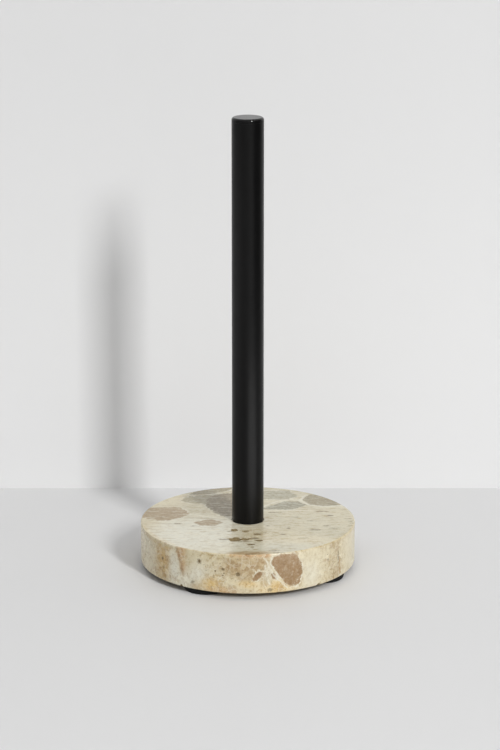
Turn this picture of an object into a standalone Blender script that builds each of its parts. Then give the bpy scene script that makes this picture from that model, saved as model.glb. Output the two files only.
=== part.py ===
"""Paper towel holder: a powder-coated steel post clamped to a round marble base on four foot pads.

Run with: blender --background --python part.py
Metres, +Z up. The origin is on the surface the holder stands on, under the middle of the base.
The front is -Y. Each piece is modelled up from its own underside and then set at its height.
"""

import math

import bmesh
import bpy

# Gap left between two pieces that touch on the real holder
GAP = 0.0003

# Foot pads
FOOT_COUNT = 4
FOOT_RADIUS = 0.015
FOOT_THICKNESS = 0.0037
FOOT_EDGE = 0.0006
FOOT_INSET = 0.001  # from the base's rim in to the pad's rim
FOOT_TURN = math.radians(-29)  # first pad, turned from the front about +Z

# Marble base
BASE_RADIUS = 0.075
BASE_THICKNESS = 0.028
BASE_EDGE = 0.0008

# Post
POST_RADIUS = 0.011
POST_WALL = 0.0012
POST_HEIGHT = 0.285  # from the base's top to the top of the cap
POST_FOOT_EDGE = 0.0004

# Spot-faced seat in the base's top, and the gasket that lies in it under the post
SEAT_CLEARANCE = 0.0005
SEAT_DEPTH = 0.001
GASKET_THICKNESS = 0.0008
GASKET_INSET = 0.0004

# End cap: a rounded disc with a hollow spigot that goes down into the tube
CAP_THICKNESS = 0.003
CAP_EDGE = 0.0016
SPIGOT_LENGTH = 0.010
SPIGOT_WALL = 0.0015

# M8 clamp screw, up through the base into the plug in the post's foot
SCREW_CREST_RADIUS = 0.0039
THREAD_DEPTH = 0.0006
THREAD_PITCH = 0.00125
THREAD_CLEARANCE = 0.0003
SCREW_ENGAGEMENT = 0.009  # length of thread inside the plug
SCREW_TIP_RADIUS = 0.0030
SCREW_HOLE_CLEARANCE = 0.0006
HEAD_FLATS = 0.013
HEAD_HEIGHT = 0.0053
HEAD_RECESS = 0.002  # from the base's underside up to the screw's head
HEAD_SINK = 0.001  # how far the threaded rod runs into the head
PLUG_SPARE = 0.006  # plug beyond the screw's tip
PLUG_CHAMFER = 0.0006

# Washers under the screw's head
WASHER_RADIUS = 0.012
WASHER_THICKNESS = 0.002
WASHER_EDGE = 0.0003
SPRING_RADIUS = 0.0074
SPRING_THICKNESS = 0.002
SPRING_RISE = 0.0003  # how far its cut ends stand apart once tightened
SPRING_CUT = math.radians(14)
COUNTERBORE_CLEARANCE = 0.002
COUNTERBORE_CHAMFER = 0.0005

# Steps round a full turn
BASE_STEPS = 72
POST_STEPS = 48
FOOT_STEPS = 40
SMALL_STEPS = 32
THREAD_STEPS = 20
EDGE_STEPS = 3
MERGE = 0.00001
SHARP = math.radians(35)

# Sizes that follow from the ones above
TUBE_INNER_RADIUS = POST_RADIUS - POST_WALL
INSERT_RADIUS = TUBE_INNER_RADIUS - GAP
SCREW_ROOT_RADIUS = SCREW_CREST_RADIUS - THREAD_DEPTH
SCREW_HOLE_RADIUS = SCREW_CREST_RADIUS + SCREW_HOLE_CLEARANCE
SEAT_RADIUS = POST_RADIUS + SEAT_CLEARANCE
COUNTERBORE_RADIUS = WASHER_RADIUS + COUNTERBORE_CLEARANCE
FOOT_CIRCLE = BASE_RADIUS - FOOT_INSET - FOOT_RADIUS
PLUG_LENGTH = SCREW_ENGAGEMENT + PLUG_SPARE

# Heights, from the surface up
BASE_BOTTOM = FOOT_THICKNESS + GAP
HEAD_BOTTOM = BASE_BOTTOM + HEAD_RECESS
HEAD_TOP = HEAD_BOTTOM + HEAD_HEIGHT
SPRING_BOTTOM = HEAD_TOP + GAP
WASHER_BOTTOM = SPRING_BOTTOM + SPRING_THICKNESS + SPRING_RISE + GAP
COUNTERBORE_TOP = WASHER_BOTTOM + WASHER_THICKNESS + GAP
BASE_TOP = BASE_BOTTOM + BASE_THICKNESS
SEAT_FLOOR = BASE_TOP - SEAT_DEPTH
GASKET_BOTTOM = SEAT_FLOOR + GAP
POST_BOTTOM = GASKET_BOTTOM + GASKET_THICKNESS + GAP
POST_TOP = BASE_TOP + POST_HEIGHT
CAP_BOTTOM = POST_TOP - CAP_THICKNESS
TUBE_LENGTH = CAP_BOTTOM - GAP - POST_BOTTOM
SCREW_LENGTH = POST_BOTTOM + SCREW_ENGAGEMENT - HEAD_TOP


def clear_scene():
    for obj in list(bpy.data.objects):
        bpy.data.objects.remove(obj)


def new_collection(name):
    collection = bpy.data.collections.new(name)
    bpy.context.scene.collection.children.link(collection)
    return collection


def new_material(name, color, roughness, metallic=0.0):
    material = bpy.data.materials.new(name)
    material.use_nodes = True
    shader = material.node_tree.nodes["Principled BSDF"]
    shader.inputs["Base Color"].default_value = (*color, 1.0)
    shader.inputs["Roughness"].default_value = roughness
    shader.inputs["Metallic"].default_value = metallic
    material.diffuse_color = (*color, 1.0)
    return material


def arc(radius, height, size, start, end):
    """Points of a round corner about (radius, height), from one angle in degrees to another."""
    angles = [math.radians(start + (end - start) * i / EDGE_STEPS) for i in range(EDGE_STEPS + 1)]
    return [(radius + size * math.cos(a), height + size * math.sin(a)) for a in angles]


def rounded_rim(radius, bottom, top, size):
    """The outer side of a turned piece, top to bottom, with both its edges rounded."""
    return [
        *arc(radius - size, top - size, size, 90, 0),
        *arc(radius - size, bottom + size, size, 0, -90),
    ]


def new_object(name, mesh, collection, height=0.0):
    obj = bpy.data.objects.new(name, mesh)
    obj.location.z = height
    collection.objects.link(obj)
    return obj


def apply_modifiers(obj):
    """Keeps what the modifiers make as the object's own mesh."""
    bpy.context.view_layer.update()
    graph = bpy.context.evaluated_depsgraph_get()
    mesh = bpy.data.meshes.new_from_object(obj.evaluated_get(graph))
    obj.modifiers.clear()
    obj.data = mesh


def turned(name, profile, collection, height=0.0, steps=SMALL_STEPS):
    """A body turned about Z. The profile's (radius, height) points run down its outer side.

    A profile that starts and ends on the axis is a solid piece. Any other is a loop: a ring."""
    mesh = bpy.data.meshes.new(name)
    edges = [(i, i + 1) for i in range(len(profile) - 1)]
    if profile[0][0] > 0:
        edges.append((len(profile) - 1, 0))
    mesh.from_pydata([(radius, 0, z) for radius, z in profile], edges, [])
    obj = new_object(name, mesh, collection, height)
    screw = obj.modifiers.new("Turn", "SCREW")
    screw.axis = "Z"
    screw.steps = steps
    screw.render_steps = steps
    screw.use_merge_vertices = True
    screw.merge_threshold = MERGE
    apply_modifiers(obj)
    return obj


def combine(obj, other, operation):
    """Cuts other from obj, joins it to obj or keeps what both share, and leaves other as a hidden cutter."""
    boolean = obj.modifiers.new(operation.title(), "BOOLEAN")
    boolean.operation = operation
    boolean.object = other
    boolean.solver = "EXACT"
    other.hide_render = True
    other.display_type = "WIRE"
    apply_modifiers(obj)


def finish(obj, material):
    obj.data.shade_smooth()
    obj.data.set_sharp_from_angle(angle=SHARP)
    obj.data.materials.clear()
    obj.data.materials.append(material)


def thread_radius(root, turns):
    """A V thread's radius at a height counted in turns: its root at whole numbers, its crest between."""
    return root + THREAD_DEPTH * (1 - abs(2 * (turns % 1) - 1))


def threaded_rod(name, root, bottom, top, tip_radius, collection, height=0.0):
    """A rod with a right-hand V thread and flat ends.

    Rows of points follow the helix, root and crest by turns. A row that runs past an end is drawn
    in to that end's plane, at the radius that the thread has there, and doubled points are merged.
    """
    first = math.floor(bottom / THREAD_PITCH)
    rows = 2 * (math.ceil(top / THREAD_PITCH) - first) + 6
    bm = bmesh.new()
    columns = []
    for i in range(THREAD_STEPS):
        share = i / THREAD_STEPS
        column = []
        for j in range(rows):
            z = min(max((first + j / 2 + share - 1) * THREAD_PITCH, bottom), top)
            radius = thread_radius(root, z / THREAD_PITCH - share)
            radius = min(radius, tip_radius + top - z)
            angle = 2 * math.pi * share
            column.append(bm.verts.new((radius * math.cos(angle), radius * math.sin(angle), z)))
        columns.append(column)
    for i, column in enumerate(columns):
        last = i == THREAD_STEPS - 1
        following = columns[0][2:] if last else columns[i + 1]
        for j in range(len(following) - 1):
            bm.faces.new((column[j], following[j], following[j + 1], column[j + 1]))
    bmesh.ops.remove_doubles(bm, verts=bm.verts, dist=MERGE / 10)
    loose = [v for v in bm.verts if not v.link_faces]
    bmesh.ops.delete(bm, geom=loose, context="VERTS")
    rims = [e for e in bm.edges if e.is_boundary]
    bmesh.ops.holes_fill(bm, edges=rims)
    bmesh.ops.recalc_face_normals(bm, faces=bm.faces)
    mesh = bpy.data.meshes.new(name)
    bm.to_mesh(mesh)
    bm.free()
    return new_object(name, mesh, collection, height)


def make_marble_base(parts, material):
    seat, top = SEAT_FLOOR - BASE_BOTTOM, BASE_THICKNESS
    bore_top = COUNTERBORE_TOP - BASE_BOTTOM
    profile = [
        (SCREW_HOLE_RADIUS, seat),
        (SEAT_RADIUS, seat),
        (SEAT_RADIUS, top),
        *rounded_rim(BASE_RADIUS, 0, top, BASE_EDGE),
        (COUNTERBORE_RADIUS + COUNTERBORE_CHAMFER, 0),
        (COUNTERBORE_RADIUS, COUNTERBORE_CHAMFER),
        (COUNTERBORE_RADIUS, bore_top),
        (SCREW_HOLE_RADIUS, bore_top),
    ]
    finish(turned("marble_base", profile, parts, BASE_BOTTOM, BASE_STEPS), material)


def make_foot_pads(parts, material):
    profile = [
        (0, FOOT_THICKNESS),
        *rounded_rim(FOOT_RADIUS, 0, FOOT_THICKNESS, FOOT_EDGE),
        (0, 0),
    ]
    for i in range(FOOT_COUNT):
        pad = turned(f"foot_pad_{i + 1}", profile, parts, 0, FOOT_STEPS)
        turn = FOOT_TURN + 2 * math.pi * i / FOOT_COUNT
        pad.location.x = FOOT_CIRCLE * math.sin(turn)
        pad.location.y = -FOOT_CIRCLE * math.cos(turn)
        pad.rotation_euler.z = turn
        finish(pad, material)


def make_post_gasket(parts, material):
    outer = POST_RADIUS - GASKET_INSET
    inner = SCREW_HOLE_RADIUS
    profile = [
        (inner, GASKET_THICKNESS),
        (outer, GASKET_THICKNESS),
        (outer, 0),
        (inner, 0),
    ]
    finish(turned("post_gasket", profile, parts, GASKET_BOTTOM, POST_STEPS), material)


def make_post_tube(parts, material):
    foot = arc(POST_RADIUS - POST_FOOT_EDGE, POST_FOOT_EDGE, POST_FOOT_EDGE, 0, -90)
    profile = [
        (TUBE_INNER_RADIUS, TUBE_LENGTH),
        (POST_RADIUS, TUBE_LENGTH),
        *foot,
        (TUBE_INNER_RADIUS, 0),
    ]
    finish(turned("post_tube", profile, parts, POST_BOTTOM, POST_STEPS), material)


def make_post_end_cap(parts, material):
    profile = [
        (0, CAP_THICKNESS),
        *arc(POST_RADIUS - CAP_EDGE, CAP_THICKNESS - CAP_EDGE, CAP_EDGE, 90, 0),
        (POST_RADIUS, 0),
        (INSERT_RADIUS, 0),
        (INSERT_RADIUS, -SPIGOT_LENGTH),
        (INSERT_RADIUS - SPIGOT_WALL, -SPIGOT_LENGTH),
        (INSERT_RADIUS - SPIGOT_WALL, 0),
        (0, 0),
    ]
    finish(turned("post_end_cap", profile, parts, CAP_BOTTOM, POST_STEPS), material)


def make_threaded_plug(parts, cutters, material):
    profile = [
        (0, PLUG_LENGTH),
        (INSERT_RADIUS - PLUG_CHAMFER, PLUG_LENGTH),
        (INSERT_RADIUS, PLUG_LENGTH - PLUG_CHAMFER),
        (INSERT_RADIUS, 0),
        (0, 0),
    ]
    plug = turned("threaded_plug", profile, parts, POST_BOTTOM, SMALL_STEPS)
    # The tapped hole runs past both ends of the plug, in step with the screw's own thread.
    tap = threaded_rod(
        "plug_tap",
        SCREW_ROOT_RADIUS + THREAD_CLEARANCE,
        POST_BOTTOM - HEAD_TOP - THREAD_PITCH,
        POST_BOTTOM - HEAD_TOP + PLUG_LENGTH + THREAD_PITCH,
        SCREW_CREST_RADIUS + THREAD_CLEARANCE,
        cutters,
        HEAD_TOP,
    )
    combine(plug, tap, "DIFFERENCE")
    finish(plug, material)


def make_clamp_screw(parts, cutters, material):
    corner = HEAD_FLATS / 2 / math.cos(math.pi / 6)
    bm = bmesh.new()
    bmesh.ops.create_cone(
        bm, cap_ends=True, segments=6, radius1=corner, radius2=corner, depth=HEAD_HEIGHT
    )
    bmesh.ops.translate(bm, verts=bm.verts, vec=(0, 0, HEAD_HEIGHT / 2))
    mesh = bpy.data.meshes.new("clamp_screw")
    bm.to_mesh(mesh)
    bm.free()
    screw = new_object("clamp_screw", mesh, parts, HEAD_BOTTOM)
    # A turned blank with a 30 degree chamfer takes the corners off the outer face.
    flat = HEAD_FLATS / 2
    fall = math.tan(math.radians(30))
    blank = turned(
        "head_chamfer",
        [
            (0, 2 * HEAD_HEIGHT),
            (2 * corner, 2 * HEAD_HEIGHT),
            (2 * corner, (2 * corner - flat) * fall),
            (flat, 0),
            (0, 0),
        ],
        cutters,
        HEAD_BOTTOM,
    )
    combine(screw, blank, "INTERSECT")
    rod = threaded_rod(
        "screw_thread",
        SCREW_ROOT_RADIUS,
        -HEAD_SINK,
        SCREW_LENGTH,
        SCREW_TIP_RADIUS,
        cutters,
        HEAD_TOP,
    )
    combine(screw, rod, "UNION")
    finish(screw, material)


def make_flat_washer(parts, material):
    profile = [
        (SCREW_HOLE_RADIUS, WASHER_THICKNESS),
        *rounded_rim(WASHER_RADIUS, 0, WASHER_THICKNESS, WASHER_EDGE),
        (SCREW_HOLE_RADIUS, 0),
    ]
    finish(turned("flat_washer", profile, parts, WASHER_BOTTOM), material)


def make_spring_washer(parts, material):
    """A split ring whose section climbs a little from one cut end to the other."""
    bm = bmesh.new()
    inner = SCREW_HOLE_RADIUS
    section = [
        bm.verts.new((inner, 0, 0)),
        bm.verts.new((SPRING_RADIUS, 0, 0)),
        bm.verts.new((SPRING_RADIUS, 0, SPRING_THICKNESS)),
        bm.verts.new((inner, 0, SPRING_THICKNESS)),
    ]
    bm.faces.new(section)
    bmesh.ops.spin(
        bm,
        geom=bm.verts[:] + bm.edges[:] + bm.faces[:],
        cent=(0, 0, 0),
        axis=(0, 0, 1),
        dvec=(0, 0, SPRING_RISE / SMALL_STEPS),
        angle=2 * math.pi - SPRING_CUT,
        steps=SMALL_STEPS,
    )
    bmesh.ops.holes_fill(bm, edges=[e for e in bm.edges if e.is_boundary])
    bmesh.ops.recalc_face_normals(bm, faces=bm.faces)
    mesh = bpy.data.meshes.new("spring_washer")
    bm.to_mesh(mesh)
    bm.free()
    finish(new_object("spring_washer", mesh, parts, SPRING_BOTTOM), material)


def main():
    clear_scene()
    parts = new_collection("paper_towel_holder")
    cutters = new_collection("cutters")

    marble = new_material("marble", (0.60, 0.51, 0.39), 0.25)
    powder_coat = new_material("powder_coat", (0.014, 0.014, 0.014), 0.45)
    rubber = new_material("rubber", (0.010, 0.010, 0.010), 0.75)
    zinc = new_material("zinc_plated_steel", (0.56, 0.57, 0.58), 0.35, 1.0)
    plain_steel = new_material("plain_steel", (0.40, 0.39, 0.38), 0.45, 1.0)

    make_foot_pads(parts, rubber)
    make_marble_base(parts, marble)
    make_clamp_screw(parts, cutters, zinc)
    make_spring_washer(parts, zinc)
    make_flat_washer(parts, zinc)
    make_post_gasket(parts, rubber)
    make_threaded_plug(parts, cutters, plain_steel)
    make_post_tube(parts, powder_coat)
    make_post_end_cap(parts, powder_coat)


main()
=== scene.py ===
import math
import random

import bpy
import numpy as np
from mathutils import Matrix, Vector, noise


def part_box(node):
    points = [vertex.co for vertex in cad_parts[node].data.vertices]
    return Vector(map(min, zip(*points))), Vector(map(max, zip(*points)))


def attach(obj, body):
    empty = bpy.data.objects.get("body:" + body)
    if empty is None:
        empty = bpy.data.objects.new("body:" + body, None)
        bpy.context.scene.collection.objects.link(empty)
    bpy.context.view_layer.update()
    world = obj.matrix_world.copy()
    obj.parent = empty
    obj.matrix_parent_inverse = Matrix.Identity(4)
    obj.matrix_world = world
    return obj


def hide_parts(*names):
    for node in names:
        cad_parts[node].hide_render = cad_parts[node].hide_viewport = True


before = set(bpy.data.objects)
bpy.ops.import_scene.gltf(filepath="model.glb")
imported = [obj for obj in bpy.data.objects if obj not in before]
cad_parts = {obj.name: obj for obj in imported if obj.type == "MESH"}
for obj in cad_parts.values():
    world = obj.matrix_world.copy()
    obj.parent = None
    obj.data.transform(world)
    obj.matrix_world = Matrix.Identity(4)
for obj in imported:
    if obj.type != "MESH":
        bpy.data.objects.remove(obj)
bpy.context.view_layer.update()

MM = 0.001
SHARP_DEGREES = 35

# ---------------------------------------------------------------------------
# Sizes, in metres, read from the frame where it gives them
# ---------------------------------------------------------------------------
BASE_LOW, BASE_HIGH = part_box("marble_base")
CAP_LOW, CAP_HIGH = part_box("post_end_cap")
GASKET_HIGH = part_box("post_gasket")[1]
WASHER_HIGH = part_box("flat_washer")[1]

BASE_RADIUS = BASE_HIGH.x
BASE_TOP = BASE_HIGH.z
BASE_BOTTOM = BASE_LOW.z
BASE_EDGE = 0.9 * MM
BASE_STEPS = 360

POST_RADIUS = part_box("post_tube")[1].x
POST_STEPS = 128
TUBE_WALL = 1.2 * MM
TUBE_FOOT_EDGE = 0.4 * MM
# The tube and the cap meet in a fine groove: the gap, and the rounding of each lip.
GROOVE_GAP = 0.03 * MM
GROOVE_LIP = 0.05 * MM

CAP_EDGE = 1.7 * MM
CAP_UNDERSIDE = CAP_HIGH.z - 3.0 * MM
SPIGOT_RADIUS = POST_RADIUS - TUBE_WALL - 0.05 * MM
SPIGOT_WALL = 1.5 * MM
SPIGOT_CHAMFER = 0.4 * MM

SEAT_RADIUS = POST_RADIUS + 0.5 * MM
SEAT_FLOOR = BASE_TOP - 1.0 * MM
GASKET_BORE = 4.6 * MM
GASKET_EDGE = 0.25 * MM
GASKET_STEPS = 96
SCREW_HOLE_RADIUS = 4.5 * MM
COUNTERBORE_RADIUS = 14.0 * MM
COUNTERBORE_CHAMFER = 0.5 * MM
COUNTERBORE_CEILING = WASHER_HIGH.z + 0.3 * MM

PAD_EDGE = 1.0 * MM
PAD_DISH = 0.25 * MM
PAD_STEPS = 72
# A piece that rests on another stays this far off it.
SKIN = 0.02 * MM

# ---------------------------------------------------------------------------
# Colours of the stone, as display values out of 255
# ---------------------------------------------------------------------------
STONE = {
    "white": (226, 222, 204),
    "shell": (228, 227, 213),
    "ivory": (228, 217, 186),
    "linen": (207, 205, 188),
    "oat": (209, 202, 177),
    "pearl": (216, 205, 177),
    "cream": (216, 206, 178),
    "husk": (198, 184, 148),
    "blush": (190, 174, 142),
    "sand": (192, 172, 128),
    "gold": (218, 183, 116),
    "clay": (168, 140, 96),
    "ochre": (190, 150, 70),
    "rose": (160, 139, 106),
    "cocoa": (146, 115, 78),
    "rust": (148, 112, 68),
    "russet": (190, 148, 98),
    "drab": (138, 120, 84),
    "umber": (88, 74, 48),
    "mist": (180, 174, 151),
    "ash": (168, 163, 141),
    "slate": (149, 145, 124),
    "bark": (146, 135, 106),
    "taupe": (132, 119, 92),
    "dove": (160, 151, 124),
    "moss": (100, 86, 54),
}

# Fragments in the top face: colour, then the outline. Everything laid on the top is in millimetres
# from the middle, with +y to the back.
TOP_FRAGMENTS = [
    ("taupe", [(-31, 46), (-25, 56), (-14, 60), (-3, 58), (-1, 30), (-5, 10), (-17, 6), (-23, 14),
               (-28, 25), (-30, 34)]),
    ("dove", [(-49, 42), (-44, 52), (-32, 57), (-24, 55), (-29, 45), (-28, 35), (-41, 36)]),
    ("bark", [(-42, 56), (-40, 63), (-28, 70), (-10, 75), (-12, 67), (-29, 57)]),
    ("rose", [(-78, 6), (-77, 17), (-70, 26), (-50, 28), (-43, 19), (-41, 11), (-47, 4), (-56, -3),
              (-63, -2), (-72, 3)]),
    ("rose", [(-38, -6), (-34, -14), (-23, -14), (-17, -6), (-25, 1)]),
    ("ash", [(8, 46), (10, 65), (29, 66), (36, 53), (29, 46), (20, 45)]),
    ("slate", [(10, 24), (22, 37), (29, 41), (36, 41), (42, 32), (33, 23), (21, 22)]),
    ("bark", [(39, 49), (44, 57), (53, 56), (62, 44), (69, 33), (53, 30), (44, 33), (40, 42)]),
]
# Pale veins in the top face: half width, then the line.
TOP_VEINS = [
    (1.0, [(10, 28), (21, 41), (29, 44), (37, 43), (41, 53)]),
    (1.1, [(37, 44), (43, 33), (53, 29), (69, 31)]),
    (0.9, [(8, 20), (24, 20.5), (46, 19)]),
    (0.6, [(-46, 12), (-36, 10), (-24, 4), (-14, 3)]),
    (0.5, [(-44, 50), (-30, 56), (-14, 63), (-2, 63)]),
]
# Dark marks in the top face: the middle, then the half sizes.
TOP_MARKS = [
    (19, 16.0, 5.5, 1.1), (53, 18.0, 6.0, 1.2), (58, 9.0, 2.6, 1.6), (47, -22.5, 5.0, 1.5),
    (55, -14.0, 3.0, 1.3), (28, -19.0, 1.8, 1.5), (24, -32.0, 2.6, 1.3), (60, -19.0, 4.5, 1.0),
    (72, -4.0, 3.0, 0.9), (72, -14.0, 2.8, 1.0), (-49, -9.0, 3.0, 1.4), (-38, -14.0, 2.2, 1.0),
    (34, 5.0, 3.4, 0.9), (44, -3.0, 3.8, 0.9), (14, -14.0, 2.4, 1.0), (38, -40.0, 3.6, 0.9),
    (18, -66.0, 4.0, 0.9), (-16, -43.0, 5.0, 1.6), (-3, -47.5, 6.0, 1.2), (5, -41.0, 3.0, 2.0),
    (-12, -26.0, 2.6, 1.2), (20, -70.0, 3.6, 1.1), (70, 2.0, 3.2, 0.9), (73, -8.0, 2.4, 0.8),
    (1, -73.4, 6.0, 0.9), (-14, -43.0, 4.0, 1.6),
]
# Soft bands of colour in the ground: colour, half width, strength, then the line along the middle.
TOP_BANDS = [
    ("clay", 2.6, 4.5, [(-11, -72.6), (0, -73.6), (12, -72.4)]),
    ("rust", 0.9, 2.5, [(-5, -73), (2, -73.6), (8, -73.4)]),
    ("mist", 1.4, 1.5, [(-46, 3), (-30, 3), (-14, 0)]),
    ("mist", 1.2, 1.5, [(-60, -9), (-48, -10), (-40, -9)]),
    ("sand", 2.0, 1.0, [(74, -12), (70.5, -27), (62.5, -42)]),
    ("gold", 0.9, 1.6, [(-72.6, -14), (-69, -26), (-61, -41), (-50, -54)]),
]
# Wide soft tints of the ground between the fragments: colour, middle, half sizes, strength.
TOP_TINTS = [
    ("shell", -38, -34, 36, 26, 5.0),
    ("shell", -20, -14, 26, 12, 1.5),
    ("sand", -70, -14, 8, 18, 1.6),
    ("mist", -36, 24, 16, 14, 2.5),
    ("pearl", -56, 44, 16, 16, 2.0),
    ("oat", 40, 4, 34, 24, 3.0),
    ("blush", 44, 19, 15, 4, 1.6),
    ("husk", 22, -26, 14, 12, 1.2),
    ("ivory", 40, -46, 20, 10, 2.0),
    ("mist", 60, -30, 16, 16, 0.8),
    ("linen", 26, -58, 26, 8, 3.0),
    ("sand", 2, -32, 12, 14, 2.2),
    ("clay", 3, -71, 12, 4, 2.0),
    ("mist", 8, 66, 26, 10, 1.5),
]
# Open pits in the top face: middle, half sizes, depth.
TOP_PITS = [
    (-9.5, -23.0, 2.6, 2.6, 0.9),
    (-2.0, -25.5, 2.6, 1.7, 0.7),
    (-8.6, -43.0, 4.3, 4.8, 1.4),
    (-2.6, -43.0, 3.2, 2.8, 1.0),
    (1.6, -41.5, 1.9, 1.3, 0.6),
    (2.0, -53.5, 3.0, 1.5, 0.7),
    (6.5, -32.0, 3.0, 1.5, 0.7),
    (8.0, -45.5, 2.8, 1.7, 0.7),
    (3.0, -59.0, 1.4, 0.8, 0.4),
    (12.0, -29.0, 1.2, 0.8, 0.4),
]

# The same for the side. A place is in degrees from the front, to the right, and in millimetres of
# height. Half sizes and half widths are in millimetres, and a tint's first half size is in degrees.
SIDE_FRAGMENTS = [
    ("cocoa", [(12.3, 27), (13.4, 30.2), (17, 31.6), (24.5, 31.2), (27.3, 27), (29, 23), (29.8, 16),
               (28.4, 10.5), (26, 7.6), (22.6, 7.6), (20, 10), (17, 15), (14, 21)]),
    ("cocoa", [(3.2, 14), (3.6, 17), (6, 19.6), (7.6, 19), (6.8, 16), (5, 14)]),
    ("cocoa", [(12, 14), (12.5, 18), (14.6, 18), (15, 14)]),
    ("clay", [(56.4, 19), (58.4, 19), (58.6, 6), (57.2, 6)]),
]
SIDE_VEINS = [
    (0.7, [(9, 29), (12, 21), (14, 16), (21, 7)]),
    (0.7, [(9, 24), (10, 17), (11.4, 11)]),
    (0.4, [(24, 8), (27, 12), (29.5, 15)]),
    (0.5, [(2.4, 13), (2.6, 18), (5, 21), (8.6, 20.5)]),
]
SIDE_MARKS = [
    (-26, 24.8, 1.8, 1.9), (-5, 18.0, 1.9, 1.7), (-13, 21.0, 1.5, 1.3), (-9.5, 19.5, 0.9, 1.0),
    (-51, 20.0, 1.4, 1.8), (-50, 14.0, 1.0, 1.6), (-30, 9.0, 2.0, 1.3), (11.5, 6.5, 2.2, 1.7),
    (56, 20.0, 0.8, 6.0), (47, 20.0, 0.9, 1.0), (-38.4, 28.6, 0.8, 1.6),
    (-18, 15.0, 0.9, 0.8), (1, 12.0, 0.9, 0.8), (-22, 19.0, 0.7, 0.7),
]
SIDE_BANDS = [
    ("russet", 1.2, 5.0, [(-9, 31.4), (11, 31.4)]),
    ("sand", 0.9, 2.0, [(-25, 30.4), (-6, 30.4)]),
    ("ochre", 0.9, 2.6, [(-72, 30.0), (-60, 29.8), (-44, 29.0)]),
    ("rust", 0.9, 7.0, [(-40.2, 31), (-39, 27), (-37.6, 22), (-36.7, 17), (-36, 12.5)]),
    ("husk", 1.0, 4.0, [(-76, 30.6), (-60, 30.4), (-40, 29.6)]),
    # Painted highlight: a white band along the left rim's rounded edge stands in for light catching
    # that edge.
    ("white", 0.6, 2.0, [(-58, 31.9), (-36, 31.9)]),
    # Painted shade: the right rim's rounded edge is painted darker sand to hold back the key
    # light's glint on it.
    ("sand", 0.9, 3.0, [(15, 31.9), (85, 31.9)]),
]
SIDE_TINTS = [
    ("ivory", -76, 18, 10, 14, 3.0),
    ("pearl", -62, 16, 6, 14, 2.5),
    ("linen", -69, 23, 4, 6, 1.5),
    ("ochre", -51, 18, 5, 10, 5.0),
    ("ivory", -55, 29.5, 6, 2, 2.0),
    ("sand", -50, 7, 6, 3, 2.5),
    ("shell", -43, 14, 3, 13, 5.0),
    ("russet", -37.3, 28.6, 2.2, 3.4, 9.0),
    ("russet", -35.8, 21, 1.5, 6, 4.0),
    ("husk", -33, 26, 3.5, 6, 3.0),
    ("pearl", -32.5, 18, 2.5, 4, 2.0),
    ("shell", -35, 9, 5, 5, 4.0),
    ("pearl", -29, 22, 5, 6, 2.0),
    ("shell", -27, 16, 4.5, 5, 5.0),
    ("pearl", -21, 22, 5, 4, 2.0),
    ("husk", -18, 29, 10, 2.5, 2.5),
    ("clay", -7, 23.5, 7, 4, 5.0),
    ("clay", 1, 18, 6, 4.5, 4.5),
    ("rose", -1, 17, 3, 3, 1.5),
    ("gold", -19.5, 10, 4.5, 3.5, 5.0),
    ("ivory", -13, 12, 4, 3, 3.0),
    ("gold", 0, 11, 5, 2, 4.5),
    ("russet", -14, 6, 7, 2, 3.0),
    ("cream", -5, 10, 4, 3, 2.0),
    ("ivory", 7, 11, 4, 3, 3.5),
    ("white", 10, 16, 1.7, 6, 7.0),
    ("clay", 6, 25, 5, 4.5, 3.5),
    ("gold", 15, 8, 7, 4, 3.5),
    ("cream", 36, 18, 7, 16, 5.0),
    ("shell", 35, 14, 4.5, 7, 5.0),
    ("pearl", 46, 22, 4, 12, 1.5),
    ("blush", 54, 20, 5, 14, 3.0),
    ("rose", 53, 10, 4, 5, 3.5),
    ("clay", -28.5, 6.5, 3, 2, 3.0),
    ("sand", 28.5, 11, 2, 4, 2.5),
    ("clay", 1, 26, 8, 3.5, 2.5),
    ("blush", 50, 11, 3, 5, 3.0),
    ("cream", 66, 18, 6, 16, 5.0),
    ("cream", 78, 18, 8, 16, 4.0),
]
# Chips in the lower rim and small open pores: place, half sizes, depth.
SIDE_CHIPS = [
    (-37, 4.3, 1.3, 1.1, 0.9),
    (40, 4.3, 1.4, 1.2, 0.9),
    (-26, 24.8, 0.9, 1.0, 0.45),
    (-5, 18.0, 1.0, 0.9, 0.45),
    (-13, 21.2, 0.7, 0.7, 0.35),
    (-51, 20.0, 0.6, 0.8, 0.35),
]
# Each lump's own number shapes it: the first one for the pits, for the chips and for the pores.
FIRST_PIT = 1
FIRST_CHIP = 40
FIRST_PORE = 60
# Fine pores scattered round the whole side, all with the same depth.
PORE_SEED = 11
PORE_COUNT = 26
PORE_HEIGHTS = (7, 29)
PORE_HALF_SIZES = (0.25, 0.6)
PORE_DEPTH = 0.35
# The side's ground is calmer, with less broken stone, round these: degrees, half width, how much.
CALM_STRETCHES = [(-66, 8, 0.3), (-30, 6, 0.5), (36, 7, 0.8), (72, 14, 0.8)]
# The side's streaks are faint, but grow as strong as the top's round this: degrees, half width.
DRAWN_STRETCH = (53, 8)
FAINT_STREAKS = 0.35
# The top's ground is broken up a little round the pits: middle, half sizes, how much.
BROKEN_PATCH = (2, -36, 14, 18, 0.5)

# What can't be seen from the front is scattered from seeds, beyond so many degrees to each side.
SEEN_DEGREES = 88
REAR_SEED = 5
REAR_COUNT = 46
REAR_COLORS = ["rose", "cocoa", "clay", "bark", "blush", "husk"]
REAR_TINT_SEED = 17
REAR_TINT_COUNT = 26
REAR_TINT_COLORS = ["gold", "clay", "cream", "blush", "ochre", "shell", "husk", "sand"]
# The underside is painted dark as painted shade: less light bounces off it into the gap under the
# base, so the shadow there is deeper.
UNDER_SEED = 9
UNDER_COUNT = 22
UNDER_SHADE_COLORS = ["cocoa", "taupe", "bark", "moss"]
# The rear's fragments stay this far from the line where the unrolled side begins and ends.
SEAM_GAP = 14

# A flat face's pattern runs this far on over its rounded rim, and this deep into pits and hollows.
OVER_RIM = 0.3
TOP_DEPTH = 3
BOTTOM_DEPTH = 2


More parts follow.
